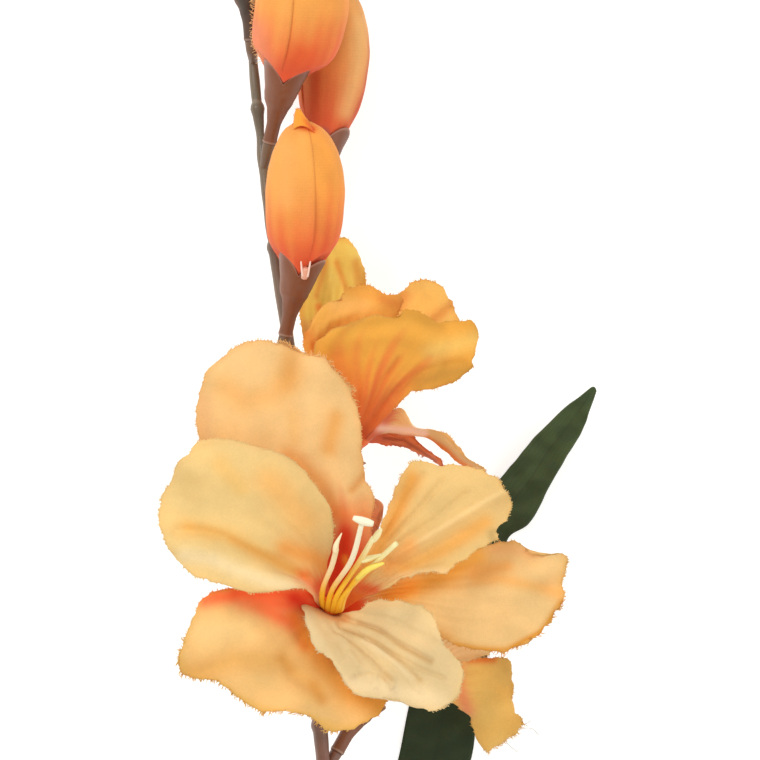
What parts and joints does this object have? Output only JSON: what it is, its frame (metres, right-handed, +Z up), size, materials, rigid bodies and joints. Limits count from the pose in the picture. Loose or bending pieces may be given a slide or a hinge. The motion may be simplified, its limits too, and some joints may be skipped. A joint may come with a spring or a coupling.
{
  "type": "cut gladiolus",
  "caption": "Artificial cut gladiolus lying on a surface: orange cloth blooms and buds in brown cups along a plastic stem, with sword leaves.",
  "frame": {"origin": "middle of the spray's box, on the surface that it lies on", "axes": "+Y along the stem towards the tip of the spike, +Z up, +X to the side that the right leaf is on"},
  "size_m": [0.1316, 0.7282, 0.0925],
  "materials": {
    "stem": "moulded brown plastic over wire, satin, with fine ribs",
    "cup": "moulded brown plastic, slightly translucent, satin",
    "bud": "woven cloth dyed orange, redder towards the foot",
    "outer_petal": "woven cloth dyed peach, red-orange in the throat, frayed edge",
    "inner_petal": "woven cloth dyed pale yellow-peach, frayed edge",
    "stamen": "moulded plastic, yellow at the foot and cream at the tips",
    "leaf": "waxed cloth printed dark green, with a pressed midrib"
  },
  "bodies": {
    "root": {"stem_lower": "stem", "stem_spike": "stem", "leaf_right": "leaf", "leaf_left": "leaf", "bud_front_cup": "cup", "bud_front": "bud", "bud_right_cup": "cup", "bud_right": "bud", "bud_upper_cup": "cup", "bud_upper": "bud", "bud_left_cup": "cup", "bud_left": "bud", "bud_fifth_cup": "cup", "bud_fifth": "bud", "bud_sixth_cup": "cup", "bud_sixth": "bud", "bud_end_cup": "cup", "bud_end": "bud", "bloom_front_cup": "cup", "bloom_front_outer_petals": "outer_petal", "bloom_front_inner_petals": "inner_petal", "bloom_front_stamens": "stamen", "bloom_side_cup": "cup", "bloom_side_outer_petals": "outer_petal", "bloom_side_inner_petals": "inner_petal", "bloom_side_stamens": "stamen", "bloom_back_cup": "cup", "bloom_back_outer_petals": "outer_petal", "bloom_back_inner_petals": "inner_petal", "bloom_back_stamens": "stamen"}
  },
  "joints": []
}
